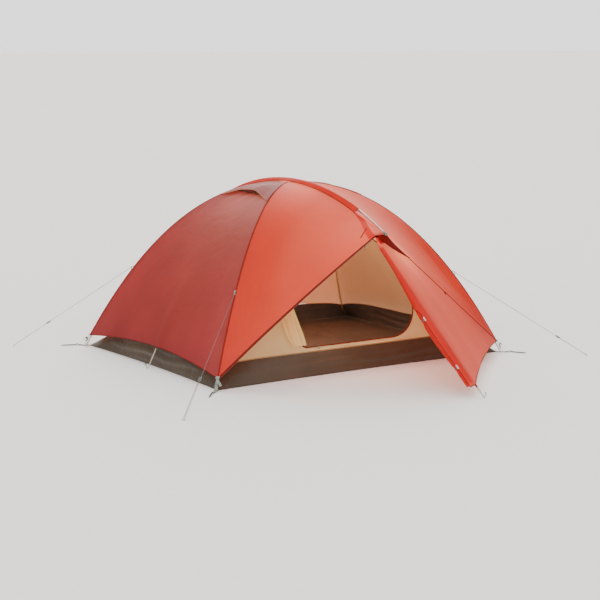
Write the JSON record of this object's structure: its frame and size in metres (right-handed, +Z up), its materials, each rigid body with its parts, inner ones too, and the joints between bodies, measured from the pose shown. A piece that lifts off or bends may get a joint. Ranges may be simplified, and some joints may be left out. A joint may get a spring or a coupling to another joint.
{
  "type": "dome tent",
  "caption": "Three-person dome tent on crossed bent poles with a ridge pole, fly with an open front door, inner tent with a raised groundsheet, and guy lines.",
  "frame": {"origin": "on the ground at the middle of the floor, where the long poles cross overhead", "axes": "+Z up, +X towards the right-hand end of the tent, -Y out of the front door"},
  "size_m": [3.4823, 4.1262, 1.2464],
  "materials": {
    "fly_dark": "coated polyester, dark red, satin",
    "fly_red": "coated polyester, orange red, satin",
    "inner_tan": "thin uncoated polyester, tan, matt",
    "floor_brown": "coated nylon, dark brown, satin",
    "pole_alloy": "drawn and anodised tube",
    "webbing": "woven polyamide webbing, grey",
    "grey_plastic": "moulded, fine satin",
    "peg_metal": "bare metal, scuffed",
    "guy_cord": "braided cord, light grey",
    "tie_cord": "elastic cord, grey"
  },
  "bodies": {
    "tent": {"corner_peg_front_left": "peg_metal", "corner_peg_front_right": "peg_metal", "corner_peg_rear_left": "peg_metal", "corner_peg_rear_right": "peg_metal", "corner_webbing_front_left": "webbing", "corner_webbing_front_right": "webbing", "corner_webbing_rear_left": "webbing", "corner_webbing_rear_right": "webbing", "fly_crown": "fly_red", "fly_end_left": "fly_dark", "fly_end_right": "fly_dark", "fly_front_left": "fly_red", "fly_front_right": "fly_red", "fly_rear_left": "fly_red", "fly_rear_right": "fly_red", "guy_line_front_left": "guy_cord", "guy_line_front_right": "guy_cord", "guy_line_rear_left": "guy_cord", "guy_line_rear_right": "guy_cord", "hem_cord_left": "tie_cord", "hem_cord_right": "tie_cord", "hem_peg_left": "peg_metal", "hem_peg_right": "peg_metal", "inner_door": "inner_tan", "inner_floor": "floor_brown", "inner_wall_front": "inner_tan", "inner_wall_left": "inner_tan", "inner_wall_rear": "inner_tan", "inner_wall_right": "inner_tan", "main_pole_a_section_1": "pole_alloy", "main_pole_a_section_2": "pole_alloy", "main_pole_a_section_3": "pole_alloy", "main_pole_b_section_1": "pole_alloy", "main_pole_b_section_2": "pole_alloy", "main_pole_b_section_3": "pole_alloy", "ridge_end_front": "grey_plastic", "ridge_end_rear": "grey_plastic", "ridge_pole_front": "pole_alloy", "ridge_pole_middle": "pole_alloy", "ridge_pole_rear": "pole_alloy", "ridge_sleeve": "fly_red", "vestibule_cord_rear": "tie_cord", "vestibule_peg_front": "peg_metal", "vestibule_peg_rear": "peg_metal", "vestibule_rear_panel": "fly_red"},
    "runner_front_left": {"guy_runner_front_left": "grey_plastic"},
    "runner_front_right": {"guy_runner_front_right": "grey_plastic"},
    "runner_rear_left": {"guy_runner_rear_left": "grey_plastic"},
    "runner_rear_right": {"guy_runner_rear_right": "grey_plastic"},
    "buckle_front_left": {"corner_buckle_front_left": "grey_plastic"},
    "buckle_front_right": {"corner_buckle_front_right": "grey_plastic"},
    "buckle_rear_left": {"corner_buckle_rear_left": "grey_plastic"},
    "buckle_rear_right": {"corner_buckle_rear_right": "grey_plastic"},
    "hood_left": {"vent_hood_left": "fly_dark"},
    "hood_right": {"vent_hood_right": "fly_dark"},
    "front_door": {"vestibule_front_panel": "fly_red", "rolled_door": "fly_red", "vestibule_cord_front": "tie_cord"},
    "fly_slider": {"fly_zip_slider": "grey_plastic"},
    "inner_slider": {"inner_zip_slider": "grey_plastic"}
  },
  "joints": [
    {"name": "runner_front_left_slide", "type": "slide", "parent": "tent", "child": "runner_front_left", "axis": [-0.6478, -0.6127, -0.4526], "range_m": [0, 0.322]},
    {"name": "runner_front_right_slide", "type": "slide", "parent": "tent", "child": "runner_front_right", "axis": [0.6248, -0.5853, -0.5168], "range_m": [0, 0.177]},
    {"name": "runner_rear_left_slide", "type": "slide", "parent": "tent", "child": "runner_rear_left", "axis": [-0.6935, 0.4615, -0.5532], "range_m": [0, 0.248]},
    {"name": "runner_rear_right_slide", "type": "slide", "parent": "tent", "child": "runner_rear_right", "axis": [0.6597, 0.5784, -0.4798], "range_m": [0, 0.232]},
    {"name": "buckle_front_left_slide", "type": "slide", "parent": "tent", "child": "buckle_front_left", "axis": [0.3946, 0.3124, 0.8641], "range_m": [-0.02, 0.018]},
    {"name": "buckle_front_right_slide", "type": "slide", "parent": "tent", "child": "buckle_front_right", "axis": [-0.3946, 0.3124, 0.8641], "range_m": [-0.02, 0.018]},
    {"name": "buckle_rear_left_slide", "type": "slide", "parent": "tent", "child": "buckle_rear_left", "axis": [0.3946, -0.3124, 0.8641], "range_m": [-0.02, 0.018]},
    {"name": "buckle_rear_right_slide", "type": "slide", "parent": "tent", "child": "buckle_rear_right", "axis": [-0.3946, -0.3124, 0.8641], "range_m": [-0.02, 0.018]},
    {"name": "hood_left_hinge", "type": "hinge", "parent": "tent", "child": "hood_left", "pos_m": [-0.078, 0, 1.21781], "axis": [0, 1, 0], "range_deg": [-1, 15]},
    {"name": "hood_right_hinge", "type": "hinge", "parent": "tent", "child": "hood_right", "pos_m": [0.078, 0, 1.21781], "axis": [0, -1, 0], "range_deg": [-1, 15]},
    {"name": "front_door_swing", "type": "hinge", "parent": "tent", "child": "front_door", "pos_m": [0, -1.128, 0.9465], "axis": [-0.7945, -0.1389, 0.5912], "range_deg": [0, 70]},
    {"name": "fly_zip_travel", "type": "slide", "parent": "tent", "child": "fly_slider", "axis": [0.784, -0.1824, 0.5934], "range_m": [-0.3, 0]},
    {"name": "inner_zip_travel", "type": "slide", "parent": "tent", "child": "inner_slider", "axis": [1, 0, 0], "range_m": [0, 0.68]}
  ]
}
